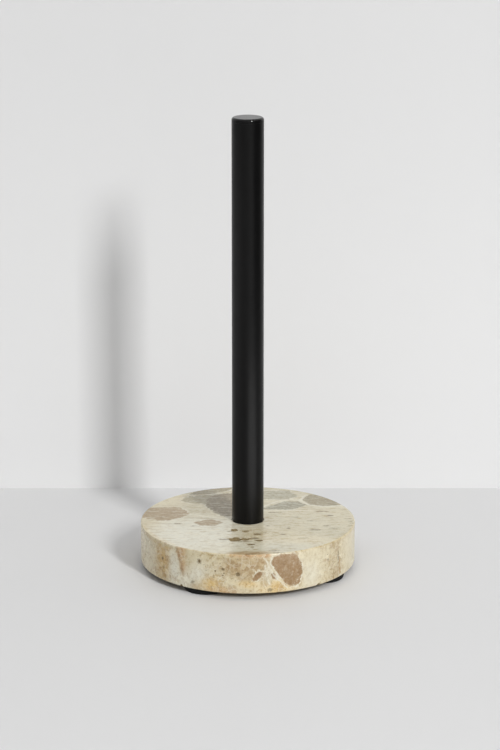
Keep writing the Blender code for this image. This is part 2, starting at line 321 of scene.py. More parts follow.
def linear(color):
    """The linear values of a display colour, which is what a shader takes."""
    parts = [c / 255 for c in color]
    return tuple(c / 12.92 if c <= 0.04045 else ((c + 0.055) / 1.055) ** 2.4 for c in parts)


# ---------------------------------------------------------------------------
# Mesh helpers
# ---------------------------------------------------------------------------
def new_object(name, points, faces, materials):
    """A mesh object in the scene."""
    mesh = bpy.data.meshes.new(name)
    mesh.from_pydata([tuple(p) for p in points], [], faces)
    for material in materials:
        mesh.materials.append(material)
    mesh.validate()
    obj = bpy.data.objects.new(name, mesh)
    bpy.context.scene.collection.objects.link(obj)
    return obj


def smooth(obj):
    """Smooth shading, with an edge kept sharp where its faces meet at a large angle."""
    obj.data.shade_smooth()
    obj.data.set_sharp_from_angle(angle=math.radians(SHARP_DEGREES))


def evenly(start, end, step):
    """Values from start to end, both included, at most a step apart."""
    count = max(1, math.ceil(abs(end - start) / step))
    return [start + (end - start) * i / count for i in range(count + 1)]


def arc(radius, height, size, start, end, steps):
    """Points (r, z) on an arc about (radius, height), from one angle in degrees to another."""
    turns = [math.radians(start + (end - start) * i / steps) for i in range(steps + 1)]
    return [(radius + size * math.cos(a), height + size * math.sin(a)) for a in turns]


def turned(name, section, steps, materials, closed=True):
    """A body turned about +Z. The section runs outward along the top and down the outer side.

    A point of the section on the axis becomes one vertex.
    """
    points = []
    rings = []
    for radius, height in section:
        first = len(points)
        if radius == 0.0:
            points.append((0.0, 0.0, height))
            rings.append([first] * steps)
            continue
        for i in range(steps):
            turn = 2 * math.pi * i / steps
            points.append((radius * math.cos(turn), radius * math.sin(turn), height))
        rings.append(list(range(first, first + steps)))
    faces = []
    pairs = list(zip(rings, rings[1:]))
    if closed:
        pairs.append((rings[-1], rings[0]))
    for upper, lower in pairs:
        for i in range(steps):
            j = (i + 1) % steps
            corners = [upper[i], lower[i], lower[j], upper[j]]
            faces.append(list(dict.fromkeys(corners)))
    faces = [face for face in faces if len(face) > 2]
    return new_object(name, points, faces, materials)


def ride(obj, node):
    """The piece stands for a CAD node: it hangs under the root body, and the node's CAD part is
    hidden.
    """
    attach(obj, "root")
    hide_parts(node)


# ---------------------------------------------------------------------------
# Node helper
# ---------------------------------------------------------------------------
class Shader:
    """A material's nodes, with one short call for each.

    A value is a number, a colour or another node's socket.
    """

    def __init__(self, name):
        self.material = bpy.data.materials.new(name)
        self.material.use_nodes = True
        self.tree = self.material.node_tree
        self.tree.nodes.clear()

    def put(self, socket, value):
        """Links a socket to the input, or sets the input's own value."""
        if isinstance(value, bpy.types.NodeSocket):
            self.tree.links.new(value, socket)
        else:
            socket.default_value = value

    def node(self, kind, inputs=None, **settings):
        """A new node. An input is named by its label or its number."""
        made = self.tree.nodes.new(kind)
        for name, value in settings.items():
            setattr(made, name, value)
        for key, value in (inputs or {}).items():
            self.put(made.inputs[key], value)
        return made

    def math(self, operation, a, b=0.0):
        return self.node("ShaderNodeMath", {0: a, 1: b}, operation=operation).outputs[0]

    def add(self, a, b):
        return self.math("ADD", a, b)

    def times(self, a, b):
        return self.math("MULTIPLY", a, b)

    def rise(self, value, low, high):
        """0 up to low, 1 from high on, and smooth between. With high below low, it falls."""
        inputs = {"Value": value, "From Min": low, "From Max": high}
        made = self.node("ShaderNodeMapRange", inputs, interpolation_type="SMOOTHSTEP")
        return made.outputs["Result"]

    def span(self, value, low, high):
        """A value from 0 to 1 spread from low to high."""
        inputs = {"Value": value, "To Min": low, "To Max": high}
        return self.node("ShaderNodeMapRange", inputs).outputs["Result"]

    def mix(self, factor, a, b, blend="MIX"):
        """Colour a at factor 0, and b blended over it at factor 1."""
        made = self.node("ShaderNodeMix", data_type="RGBA", blend_type=blend)
        self.put(made.inputs["Factor"], factor)
        self.put(made.inputs[6], a)
        self.put(made.inputs[7], b)
        return made.outputs[2]

    def tint(self, name):
        """One of the stone's colours, for a shader."""
        return (*linear(STONE[name]), 1.0)

    def millimetres(self):
        """The point on the piece, in millimetres."""
        coordinates = self.node("ShaderNodeTexCoord").outputs["Object"]
        return self.scaled(coordinates, (1000, 1000, 1000))

    def scaled(self, vector, sizes):
        made = self.node("ShaderNodeVectorMath", {0: vector, 1: sizes}, operation="MULTIPLY")
        return made.outputs[0]

    def noise(self, vector, scale, detail=2.0, roughness=0.5, distortion=0.0):
        inputs = {"Vector": vector, "Scale": scale, "Detail": detail, "Roughness": roughness}
        made = self.node("ShaderNodeTexNoise", {**inputs, "Distortion": distortion})
        return made.outputs["Fac"]

    def noise_vector(self, vector, scale, reach):
        """The vector, shifted by up to about half the reach each way."""
        made = self.node("ShaderNodeTexNoise", {"Vector": vector, "Scale": scale, "Detail": 3.0})
        inputs = {0: made.outputs["Color"], 1: (0.5, 0.5, 0.5)}
        centred = self.node("ShaderNodeVectorMath", inputs, operation="SUBTRACT").outputs[0]
        shift = self.scaled(centred, (reach, reach, reach))
        return self.node("ShaderNodeVectorMath", {0: vector, 1: shift}, operation="ADD").outputs[0]

    def cells(self, vector, scale, feature="F1"):
        inputs = {"Vector": vector, "Scale": scale}
        return self.node("ShaderNodeTexVoronoi", inputs, feature=feature)

    def attribute(self, name, output="Fac"):
        return self.node("ShaderNodeAttribute", attribute_name=name).outputs[output]

    def bump(self, height, strength, distance):
        inputs = {"Height": height, "Strength": strength, "Distance": distance}
        return self.node("ShaderNodeBump", inputs).outputs["Normal"]

    def surface(self, **sockets):
        """Ends the tree in a Principled shader. A socket's name has _ for each space."""
        shader = self.node("ShaderNodeBsdfPrincipled")
        for name, value in sockets.items():
            self.put(shader.inputs[name.replace("_", " ")], value)
        output = self.node("ShaderNodeOutputMaterial")
        self.tree.links.new(shader.outputs[0], output.inputs["Surface"])
        return self.material


# ---------------------------------------------------------------------------
# Materials
# ---------------------------------------------------------------------------
def polished_stone():
    """Brecciated marble, ground flat and polished. It reads the fields that paint_stone stores."""
    s = Shader("polished_marble")
    place = s.millimetres()
    top = s.attribute("on_top")
    ground = s.attribute("ground", "Color")
    busy = s.attribute("busy")

    # Streaks: drawn out across the top, and upright on the side.
    across = s.noise(s.noise_vector(s.scaled(place, (0.26, 1.0, 1.0)), 0.10, 6.0), 0.40, 6.0, 0.66)
    upright = s.noise(s.noise_vector(s.scaled(place, (1.0, 1.0, 0.35)), 0.12, 5.0), 0.34, 6.0, 0.66)
    streak = s.mix(top, upright, across)
    cloud = s.noise(place, 0.13, 5.0, 0.6, 0.6)
    mottle = s.noise(s.noise_vector(place, 0.25, 3.0), 0.40, 6.0, 0.68)

    # The ground: paler and darker versions of its own tint.
    pale = s.mix(0.55, ground, s.tint("ivory"))
    deep = s.mix(1.0, ground, (0.62, 0.51, 0.36, 1), "MULTIPLY")
    drawn = s.attribute("drawn")
    body = s.mix(s.times(s.rise(streak, 0.52, 0.66), s.times(drawn, 0.80)), ground, pale)
    body = s.mix(s.times(s.rise(streak, 0.49, 0.34), s.times(drawn, 0.75)), body, deep)
    body = s.mix(s.times(s.rise(cloud, 0.50, 0.70), 0.35), body, pale)
    body = s.mix(s.times(s.rise(cloud, 0.48, 0.30), 0.25), body, deep)
    lively = s.span(busy, 0.15, 0.80)
    body = s.mix(s.times(s.rise(mottle, 0.52, 0.66), lively), body, pale)
    body = s.mix(s.times(s.rise(mottle, 0.49, 0.34), lively), body, deep)

    # Breccia: small fragments in a pale matrix.
    bent = s.noise_vector(place, 0.30, 3.8)
    crumbs = s.cells(bent, 0.30)
    edges = s.cells(bent, 0.30, "DISTANCE_TO_EDGE").outputs["Distance"]
    pick = s.node("ShaderNodeSeparateColor", {"Color": crumbs.outputs["Color"]})
    toned = s.mix(s.rise(pick.outputs[0], 0.20, 0.75), pale, deep)
    toned = s.mix(s.times(s.rise(pick.outputs[1], 0.70, 0.85), 0.6), toned, s.tint("cocoa"))
    matrix = s.rise(edges, 0.12, 0.02)
    grain = s.mix(s.times(matrix, 0.55), toned, s.tint("white"))
    broken = s.times(s.rise(s.noise(place, 0.17, 3.0), 0.42, 0.60), busy)
    body = s.mix(s.times(broken, 0.60), body, grain)

    # The listed fragments, with warped, streaked edges and a pale rind.
    wander = s.span(s.noise(place, 0.22, 3.0, 0.55), -2.6, 2.6)
    drawn_edge = s.times(s.span(streak, -4.0, 4.0), s.span(top, 0.15, 1.0))
    ragged = s.span(s.noise(place, 1.1, 2.0, 0.6), -0.8, 0.8)
    wobble = s.add(s.add(wander, ragged), drawn_edge)
    depth = s.add(s.attribute("fragment_depth"), wobble)
    inside = s.rise(depth, -0.50, 0.70)
    fragment = s.attribute("fragment", "Color")
    fragment_pale = s.mix(0.45, fragment, s.tint("white"))
    fragment_deep = s.mix(1.0, fragment, (0.66, 0.62, 0.56, 1), "MULTIPLY")
    fragment = s.mix(s.times(s.rise(mottle, 0.50, 0.70), 0.7), fragment, fragment_pale)
    streaked = s.times(s.rise(streak, 0.50, 0.64), s.span(top, 0.15, 0.80))
    fragment = s.mix(streaked, fragment, fragment_pale)
    fragment = s.mix(s.times(s.rise(mottle, 0.50, 0.30), 0.7), fragment, fragment_deep)
    rind = s.times(s.rise(depth, -1.5, -0.45), s.rise(depth, 0.3, -0.2))
    body = s.mix(s.times(rind, s.times(s.rise(cloud, 0.40, 0.6), 0.8)), body, s.tint("white"))
    body = s.mix(s.times(inside, 0.92), body, fragment)

    # Thin pale veins and small dark marks.
    fine = s.span(s.noise(place, 0.7, 3.0, 0.6), -1.3, 1.3)
    vein = s.rise(s.add(s.attribute("vein_depth"), fine), -0.25, 0.45)
    body = s.mix(s.times(vein, 0.70), body, s.tint("white"))
    mark = s.rise(s.add(s.attribute("mark_depth"), fine), -0.35, 0.75)
    body = s.mix(s.times(mark, 0.60), body, s.tint("umber"))

    # Specks and crystal grain.
    specks = s.cells(s.noise_vector(place, 0.9, 0.8), 0.52)
    chance = s.node("ShaderNodeSeparateColor", {"Color": specks.outputs["Color"]}).outputs[2]
    speck = s.times(s.rise(specks.outputs["Distance"], 0.26, 0.12), s.rise(chance, 0.84, 0.90))
    body = s.mix(s.times(speck, s.span(busy, 0.15, 0.60)), body, s.tint("umber"))
    peppered = s.times(s.rise(s.noise(place, 0.95, 4.0, 0.75), 0.55, 0.68), s.times(busy, 0.55))
    body = s.mix(peppered, body, s.tint("drab"))
    crystal = s.noise(place, 2.2, 3.0, 0.7)
    body = s.mix(0.18, body, s.mix(crystal, (0.25, 0.23, 0.18, 1), (1, 1, 0.97, 1)), "OVERLAY")

    # A polish that is slightly duller on the porous parts, over a nearly flat ground face.
    duller = s.times(s.add(broken, speck), 0.10)
    roughness = s.add(s.span(s.noise(place, 0.5, 3.0), 0.15, 0.25), duller)
    height = s.add(s.times(s.noise(place, 0.35, 2.0), 0.6), s.times(speck, -0.8))
    relief = s.bump(height, 0.12, 0.0001)
    return s.surface(Base_Color=body, Roughness=roughness, Normal=relief, IOR=1.5)


def raw_stone():
    """The unpolished stone inside a pit or a chip."""
    s = Shader("raw_marble")
    place = s.millimetres()
    rough = s.noise(place, 1.6, 4.0, 0.7)
    color = s.mix(s.rise(rough, 0.30, 0.60), s.tint("moss"), s.tint("drab"))
    color = s.mix(s.rise(rough, 0.58, 0.70), color, s.tint("husk"))
    relief = s.bump(rough, 0.8, 0.0003)
    return s.surface(Base_Color=color, Roughness=0.85, Normal=relief)


def powder_coat(name, roughness, specular):
    """Satin black powder coat, with its faint orange peel."""
    s = Shader(name)
    place = s.millimetres()
    peel = s.noise(place, 1.3, 2.0, 0.5)
    mottle = s.noise(place, 0.15, 3.0, 0.6)
    color = s.mix(mottle, (0.0030, 0.0030, 0.0031, 1), (0.0050, 0.0049, 0.0048, 1))
    relief = s.bump(peel, 0.06, 0.0002)
    uneven = s.span(s.noise(place, 3.0, 2.0), roughness - 0.03, roughness + 0.03)
    return s.surface(Base_Color=color, Roughness=uneven, Normal=relief, Specular_IOR_Level=specular)


def rubber():
    """Matt black rubber with a fine moulded grain and a little dust."""
    s = Shader("black_rubber")
    place = s.millimetres()
    grain = s.noise(place, 4.0, 3.0, 0.65)
    dust = s.rise(s.noise(place, 0.8, 4.0, 0.7), 0.58, 0.80)
    color = s.mix(s.times(dust, 0.20), (0.004, 0.004, 0.004, 1), (0.030, 0.029, 0.027, 1))
    relief = s.bump(grain, 0.25, 0.0002)
    uneven = s.span(grain, 0.60, 0.80)
    return s.surface(Base_Color=color, Roughness=uneven, Normal=relief, Specular_IOR_Level=0.2)


def zinc_plate():
    """Bright zinc plate on steel, with the faint cloudiness of the passivation."""
    s = Shader("zinc_plate")
    place = s.millimetres()
    cloud = s.noise(place, 0.5, 4.0, 0.6)
    color = s.mix(cloud, (0.52, 0.53, 0.54, 1), (0.66, 0.66, 0.62, 1))
    brushed = s.noise(s.scaled(place, (1.0, 1.0, 8.0)), 1.5, 3.0, 0.6)
    relief = s.bump(brushed, 0.15, 0.0001)
    uneven = s.span(cloud, 0.24, 0.40)
    return s.surface(Base_Color=color, Metallic=1.0, Roughness=uneven, Normal=relief)


def turned_steel():
    """Plain steel as it comes off the lathe, lightly oiled."""
    s = Shader("turned_steel")
    place = s.millimetres()
    rings = s.noise(s.scaled(place, (0.05, 0.05, 6.0)), 1.5, 2.0)
    stain = s.noise(place, 0.3, 4.0, 0.6)
    color = s.mix(s.rise(stain, 0.5, 0.8), (0.46, 0.45, 0.44, 1), (0.30, 0.27, 0.24, 1))
    relief = s.bump(rings, 0.30, 0.0001)
    uneven = s.span(stain, 0.28, 0.46)
    return s.surface(Base_Color=color, Metallic=1.0, Roughness=uneven, Normal=relief)


# ---------------------------------------------------------------------------
# The marble slab
# ---------------------------------------------------------------------------
def slab_section():
    """The slab's section, from the seat over the top and down the side to the counterbore."""
    inner = BASE_RADIUS - BASE_EDGE
    # A ring this near each rim keeps the flat faces flat under smooth shading.
    near = 0.12 * MM
    section = [(r, SEAT_FLOOR) for r in evenly(SCREW_HOLE_RADIUS, SEAT_RADIUS, 2.5 * MM)]
    section += [(r, BASE_TOP) for r in evenly(SEAT_RADIUS, inner - near, 1.3 * MM)]
    section += arc(inner, BASE_TOP - BASE_EDGE, BASE_EDGE, 90, 0, 6)
    side = evenly(BASE_TOP - BASE_EDGE - near, BASE_BOTTOM + BASE_EDGE + near, 1.1 * MM)
    section += [(BASE_RADIUS, z) for z in side]
    section += arc(inner, BASE_BOTTOM + BASE_EDGE, BASE_EDGE, 0, -90, 6)
    mouth = COUNTERBORE_RADIUS + COUNTERBORE_CHAMFER
    section += [(r, BASE_BOTTOM) for r in evenly(inner - near, mouth, 3.0 * MM)]
    section += [(COUNTERBORE_RADIUS, BASE_BOTTOM + COUNTERBORE_CHAMFER)]
    ceiling = evenly(COUNTERBORE_RADIUS, SCREW_HOLE_RADIUS, 3.2 * MM)
    section += [(r, COUNTERBORE_CEILING) for r in ceiling]
    return section


def lump(center, half_sizes, seed, across, up):
    """Points and faces of an irregular closed lump.

    Its half sizes run along across, up and outwards. The seed gives it a shape of its own.
    """
    axes = (across, up, across.cross(up))
    rows = 8
    columns = 14
    shift = Vector((seed * 3.1, seed * 1.7, seed * 2.3))
    points = []
    for row in range(rows + 1):
        tilt = math.pi * row / rows
        ring = 1 if row in (0, rows) else columns
        for column in range(ring):
            turn = 2 * math.pi * column / columns
            level = math.sin(tilt)
            ray = Vector((level * math.cos(turn), level * math.sin(turn), math.cos(tilt)))
            coarse = noise.noise(ray * 1.4 + shift)
            fine = noise.noise(ray * 3.3 + shift)
            local = ray * (1.0 + 0.55 * coarse + 0.25 * fine)
            offset = Vector((0, 0, 0))
            for axis, part, half_size in zip(axes, local, half_sizes):
                offset += axis * part * half_size
            points.append(center + offset)
    faces = []
    last = len(points) - 1
    for column in range(columns):
        after = (column + 1) % columns
        faces.append((0, 1 + column, 1 + after))
        for row in range(rows - 2):
            first = 1 + row * columns
            second = first + columns
            faces.append((first + column, second + column, second + after, first + after))
        bottom = 1 + (rows - 2) * columns
        faces.append((bottom + column, last, bottom + after))
    return points, faces


def on_side(degrees, height):
    """The point on the slab's side at so many degrees from the front, and the way along it."""
    turn = math.radians(degrees)
    outward = Vector((math.sin(turn), -math.cos(turn), 0))
    along = Vector((math.cos(turn), math.sin(turn), 0))
    return outward * BASE_RADIUS + Vector((0, 0, height * MM)), along


def pit_cutter(materials):
    """One object that holds the lumps that open the pits, chips and pores."""
    right, back, up = Vector((1, 0, 0)), Vector((0, 1, 0)), Vector((0, 0, 1))
    lumps = []
    for seed, (x, y, wide, deep, depth) in enumerate(TOP_PITS, FIRST_PIT):
        center = Vector((x * MM, y * MM, BASE_TOP + 0.15 * depth * MM))
        lumps.append(lump(center, (wide * MM, deep * MM, depth * MM), seed, right, back))
    for seed, (degrees, height, wide, tall, depth) in enumerate(SIDE_CHIPS, FIRST_CHIP):
        center, along = on_side(degrees, height)
        lumps.append(lump(center, (wide * MM, tall * MM, depth * MM), seed, along, up))
    draw = random.Random(PORE_SEED)
    for seed in range(FIRST_PORE, FIRST_PORE + PORE_COUNT):
        degrees = draw.uniform(-180, 180)
        height = draw.uniform(*PORE_HEIGHTS)
        size = draw.uniform(*PORE_HALF_SIZES)
        center, along = on_side(degrees, height)
        sizes = (size * MM, size * 0.9 * MM, PORE_DEPTH * MM)
        lumps.append(lump(center, sizes, seed, along, up))
    points = []
    faces = []
    for lump_points, lump_faces in lumps:
        first = len(points)
        points += lump_points
        faces += [tuple(first + i for i in face) for face in lump_faces]
    cutter = new_object("pit_cutter", points, faces, materials)
    for polygon in cutter.data.polygons:
        polygon.material_index = 1
    return cutter


def cut(obj, cutter):
    """Takes the cutter out of the object, for good."""
    step = obj.modifiers.new("cut", "BOOLEAN")
    step.operation = "DIFFERENCE"
    step.solver = "EXACT"
    step.use_self = True
    step.object = cutter
    graph = bpy.context.evaluated_depsgraph_get()
    made = bpy.data.meshes.new_from_object(obj.evaluated_get(graph))
    obj.modifiers.remove(step)
    obj.data = made
    bpy.data.objects.remove(cutter)


def outline_depth(points, outline):
    """For each point, how far it is inside the outline. Outside it, this is negative."""
    corners = np.array(outline, float)
    after = np.roll(corners, -1, axis=0)
    depth = -line_distance(points, [*outline, outline[0]])
    x = points[:, 0]
    y = points[:, 1]
    inside = np.zeros(len(points), bool)
    for (ax, ay), (bx, by) in zip(corners, after):
        if ay == by:
            continue
        crossing = (ay > y) != (by > y)
        inside ^= crossing & (x < (bx - ax) * (y - ay) / (by - ay) + ax)
    return np.where(inside, -depth, depth)


def line_distance(points, line):
    """For each point, the distance to a line through several points."""
    nearest = np.full(len(points), 1e9)
    for start, end in zip(line, line[1:]):
        a = np.array(start, float)
        run = np.array(end, float) - a
        share = np.clip(((points - a) @ run) / (run @ run), 0, 1)
        gap = points - a - share[:, None] * run
        nearest = np.minimum(nearest, np.hypot(gap[:, 0], gap[:, 1]))
    return nearest


# The depth, in millimetres, where there is no fragment, vein or mark at all.
FAR_OUTSIDE = -50.0


def paint(points, ground, fragments, veins, bands=(), marks=(), tints=()):
    """The stone's fields at these points of one face, in that face's own millimetres.

    They are the ground's colour, the nearest fragment's colour, and how far each point is inside
    a fragment, a vein and a mark.
    """
    count = len(points)
    x = points[:, 0]
    y = points[:, 1]
    total = np.ones(count)
    color = np.tile(linear(STONE[ground]), (count, 1))
    for name, middle_x, middle_y, half_x, half_y, strength in tints:
        away = ((x - middle_x) / half_x) ** 2 + ((y - middle_y) / half_y) ** 2
        weight = strength * np.exp(-away)
        color += weight[:, None] * np.array(linear(STONE[name]))
        total += weight
    for name, half, strength, line in bands:
        weight = strength * np.exp(-((line_distance(points, line) / half) ** 2))
        color += weight[:, None] * np.array(linear(STONE[name]))
        total += weight
    color /= total[:, None]
    deepest = np.full(count, FAR_OUTSIDE)
    shade = np.tile(linear(STONE[ground]), (count, 1))
    for name, outline in fragments:
        depth = outline_depth(points, outline)
        nearer = depth > deepest
        deepest = np.where(nearer, depth, deepest)
        shade[nearer] = linear(STONE[name])
    vein = np.full(count, FAR_OUTSIDE)
    for half, line in veins:
        vein = np.maximum(vein, half - line_distance(points, line))
    mark = np.full(count, FAR_OUTSIDE)
    for middle_x, middle_y, half_x, half_y in marks:
        share = np.hypot((x - middle_x) / half_x, (y - middle_y) / half_y)
        mark = np.maximum(mark, (1 - share) * min(half_x, half_y))
    return color, shade, deepest, vein, mark


def unrolled(outline):
    """A side outline in millimetres along the rim and up."""
    reach = BASE_RADIUS / MM
    return [(math.radians(degrees) * reach, height) for degrees, height in outline]


def scattered(seed, count, box, avoid, colors):
    """Fragments of random size in a box (low x, high x, low y, high y).

    None has its middle between the two values of x to avoid.
    """
    draw = random.Random(seed)
    made = []
    while len(made) < count:
        x = draw.uniform(box[0], box[1])
        y = draw.uniform(box[2], box[3])
        if avoid[0] < x < avoid[1]:
            continue
        size = 2.0 + 11.0 * draw.random() ** 2
        corners = draw.randint(5, 8)
        outline = []
        for i in range(corners):
            turn = 2 * math.pi * (i + draw.uniform(-0.3, 0.3)) / corners
            reach = size * draw.uniform(0.65, 1.15)
            outline.append((x + reach * math.cos(turn), y + reach * math.sin(turn)))
        made.append((draw.choice(colors), outline))
    return made


def rear_tints():
    """Soft tints of the ground round the back of the side, in millimetres along the rim and up."""
    draw = random.Random(REAR_TINT_SEED)
    made = []
    for _ in range(REAR_TINT_COUNT):
        degrees = draw.uniform(96, 264)
        along = math.radians(degrees if degrees < 180 else degrees - 360) * BASE_RADIUS / MM
        name = draw.choice(REAR_TINT_COLORS)
        height = draw.uniform(6, 30)
        half_along = draw.uniform(4, 11)
        half_tall = draw.uniform(3, 9)
        made.append((name, along, height, half_along, half_tall, 3.0))
    return made


def top_layout():
    """What paint lays on the top face."""
    return {
        "ground": "oat",
        "fragments": TOP_FRAGMENTS,
        "bands": TOP_BANDS,
        "veins": TOP_VEINS,
        "marks": TOP_MARKS,
        "tints": TOP_TINTS,
    }


def side_layout():
    """What paint lays on the side, in millimetres along the rim and up."""
    half_turn = math.pi * BASE_RADIUS / MM
    seen = math.radians(SEEN_DEGREES) * BASE_RADIUS / MM
    back = half_turn - SEAM_GAP
    round_back = (-back, back, BASE_BOTTOM / MM, BASE_TOP / MM)
    rear = scattered(REAR_SEED, REAR_COUNT, round_back, (-seen, seen), REAR_COLORS)
    tints = rear_tints()
    for name, middle, height, half_turned, half_tall, strength in SIDE_TINTS:
        (along, _), (half_along, _) = unrolled([(middle, height), (half_turned, 0)])
        tints.append((name, along, height, half_along, half_tall, strength))
    return {
        "ground": "cream",
        "fragments": [(name, unrolled(line)) for name, line in SIDE_FRAGMENTS] + rear,
        "bands": [(*band[:3], unrolled(band[3])) for band in SIDE_BANDS],
        "veins": [(half, unrolled(line)) for half, line in SIDE_VEINS],
        "marks": [(*unrolled([mark[:2]])[0], *mark[2:]) for mark in SIDE_MARKS],
        "tints": tints,
    }


def underside_paint_and_shade():
    """What paint lays on the underside: a drab ground and darker fragments all over, painted shade
    that lets less light bounce into the gap under the base, and the top's veins.
    """
    box = (-70, 70, -70, 70)
    nowhere = (1, -1)
    fragments = scattered(UNDER_SEED, UNDER_COUNT, box, nowhere, UNDER_SHADE_COLORS)
    return {"ground": "drab", "fragments": fragments, "veins": TOP_VEINS}


def paint_stone(obj):
    """Stores the stone's fields on the slab's vertices."""
    mesh = obj.data
    count = len(mesh.vertices)
    flat = np.empty(count * 3)
    mesh.vertices.foreach_get("co", flat)
    co = flat.reshape(-1, 3) / MM
    x, y, height = co.T
    within = np.hypot(x, y) < BASE_RADIUS / MM - BASE_EDGE / MM + OVER_RIM
    top = (height > BASE_TOP / MM - TOP_DEPTH) & within
    bottom = (height < BASE_BOTTOM / MM + BOTTOM_DEPTH) & within
    side = ~top & ~bottom
    around = np.arctan2(x, -y) * BASE_RADIUS / MM

    color = np.zeros((count, 3))
    shade = np.zeros((count, 3))
    depth = np.zeros(count)
    vein = np.zeros(count)
    mark = np.zeros(count)
    faces = [
        (top, co[:, :2], top_layout()),
        (side, np.stack([around, height], 1), side_layout()),
        (bottom, co[:, :2], underside_paint_and_shade()),
    ]
    for chosen, places, layout in faces:
        found = paint(places[chosen], **layout)
        color[chosen], shade[chosen], depth[chosen], vein[chosen], mark[chosen] = found

    degrees = np.degrees(np.arctan2(x, -y))
    busy = np.where(side, 1.0, 0.25)
    for middle, half, strength in CALM_STRETCHES:
        busy -= np.where(side, strength * np.exp(-(((degrees - middle) / half) ** 2)), 0)
    middle_x, middle_y, half_x, half_y, strength = BROKEN_PATCH
    away = ((x - middle_x) / half_x) ** 2 + ((y - middle_y) / half_y) ** 2
    busy += np.where(top, strength * np.exp(-away), 0)
    middle, half = DRAWN_STRETCH
    stronger = (1 - FAINT_STREAKS) * np.exp(-(((degrees - middle) / half) ** 2))
    fields = {
        "on_top": top,
        "fragment_depth": depth,
        "vein_depth": vein,
        "mark_depth": mark,
        "busy": np.clip(busy, 0, 1),
        "drawn": np.where(side, FAINT_STREAKS + stronger, 1.0),
    }
    for name, values in fields.items():
        field = mesh.attributes.new(name, "FLOAT", "POINT")
        field.data.foreach_set("value", values.astype(np.float32))
    for name, values in {"ground": color, "fragment": shade}.items():
        field = mesh.attributes.new(name, "FLOAT_COLOR", "POINT")
        field.data.foreach_set("color", np.c_[values, np.ones(count)].astype(np.float32).ravel())


def make_slab():
    """The base: polished outside, with raw stone in its pits and chips."""
    materials = [polished_stone(), raw_stone()]
    slab = turned("marble_slab", slab_section(), BASE_STEPS, materials)
    cut(slab, pit_cutter(materials))
    paint_stone(slab)
    smooth(slab)
    ride(slab, "marble_base")


# ---------------------------------------------------------------------------
# The post, its cap and what is under it
# ---------------------------------------------------------------------------
def make_post(coat):
    """The tube, with a rounded foot and a fine lip where it meets the cap."""
    bore = POST_RADIUS - TUBE_WALL
    top = CAP_UNDERSIDE - GROOVE_GAP
    foot = GASKET_HIGH.z + SKIN
    edge = TUBE_FOOT_EDGE
    section = [(bore, top)]
    section += arc(POST_RADIUS - GROOVE_LIP, top - GROOVE_LIP, GROOVE_LIP, 90, 0, 2)
    section += [(POST_RADIUS, z) for z in evenly(top - 2 * GROOVE_LIP, foot + edge, 6 * MM)]
    section += arc(POST_RADIUS - edge, foot + edge, edge, -15, -90, 5)
    section += [(bore, foot)]
    section += [(bore, z) for z in evenly(foot + 0.2 * MM, top - 0.2 * MM, 30 * MM)]
    tube = turned("steel_tube", section, POST_STEPS, [coat])
    smooth(tube)
    ride(tube, "post_tube")


def make_cap(coat, smoother_coat):
    """The cap: its flat top has the smoother coat, and its spigot is hollow."""
    top = CAP_HIGH.z
    flat = POST_RADIUS - CAP_EDGE
    bore = SPIGOT_RADIUS - SPIGOT_WALL
    section = [(0.0, top)]
    section += [(r, top) for r in (2 * MM, 4 * MM, 6 * MM, 8 * MM, flat - 0.2 * MM)]
    section += arc(flat, top - CAP_EDGE, CAP_EDGE, 90, 0, 12)
    outside = (top - CAP_EDGE - 0.2 * MM, CAP_UNDERSIDE + 2 * GROOVE_LIP)
    section += [(POST_RADIUS, z) for z in outside]
    section += arc(POST_RADIUS - GROOVE_LIP, CAP_UNDERSIDE + GROOVE_LIP, GROOVE_LIP, 0, -90, 2)
    section += [(SPIGOT_RADIUS, CAP_UNDERSIDE), (SPIGOT_RADIUS, CAP_LOW.z + SPIGOT_CHAMFER)]
    section += [(SPIGOT_RADIUS - SPIGOT_CHAMFER, CAP_LOW.z), (bore, CAP_LOW.z)]
    section += [(bore, CAP_UNDERSIDE), (0.0, CAP_UNDERSIDE)]
    cap = turned("tube_cap", section, POST_STEPS, [coat, smoother_coat], closed=False)
    for polygon in cap.data.polygons:
        if polygon.center.z > top - 0.75 * CAP_EDGE:
            polygon.material_index = 1
    smooth(cap)
    ride(cap, "post_end_cap")


def make_gasket(black):
    """The ring under the post, with its outer edges rounded."""
    low = SEAT_FLOOR + SKIN
    high = GASKET_HIGH.z
    flat = GASKET_HIGH.x - GASKET_EDGE
    section = [(GASKET_BORE, high), (flat, high)]
    section += arc(flat, high - GASKET_EDGE, GASKET_EDGE, 80, 0, 4)
    section += arc(flat, low + GASKET_EDGE, GASKET_EDGE, 0, -90, 4)
    section += [(GASKET_BORE, low)]
    gasket = turned("seat_gasket", section, GASKET_STEPS, [black])
    smooth(gasket)
    ride(gasket, "post_gasket")


def make_feet(black):
    """The four pads, each with a bulging edge and a shallow dish underneath."""
    for number in range(1, 5):
        node = f"foot_pad_{number}"
        low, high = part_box(node)
        middle = (low + high) / 2
        radius = (high.x - low.x) / 2
        flat = radius - PAD_EDGE
        top = BASE_BOTTOM - SKIN
        waist = (top + low.z) / 2
        bulge = (top - low.z) / 2
        section = [(0.0, top)]
        section += [(r, top) for r in evenly(3 * MM, flat, 3 * MM)]
        for i in range(1, 13):
            turn = math.radians(90 - 180 * i / 12)
            section.append((flat + PAD_EDGE * math.cos(turn), waist + bulge * math.sin(turn)))
        section += [(r, low.z) for r in (radius - 2 * MM, radius - 3 * MM)]
        section += [(r, low.z + PAD_DISH) for r in (radius - 3.6 * MM, 6 * MM, 0.0)]
        pad = turned(f"rubber_foot_{number}", section, PAD_STEPS, [black], closed=False)
        pad.location = (middle.x, middle.y, 0)
        smooth(pad)
        ride(pad, node)


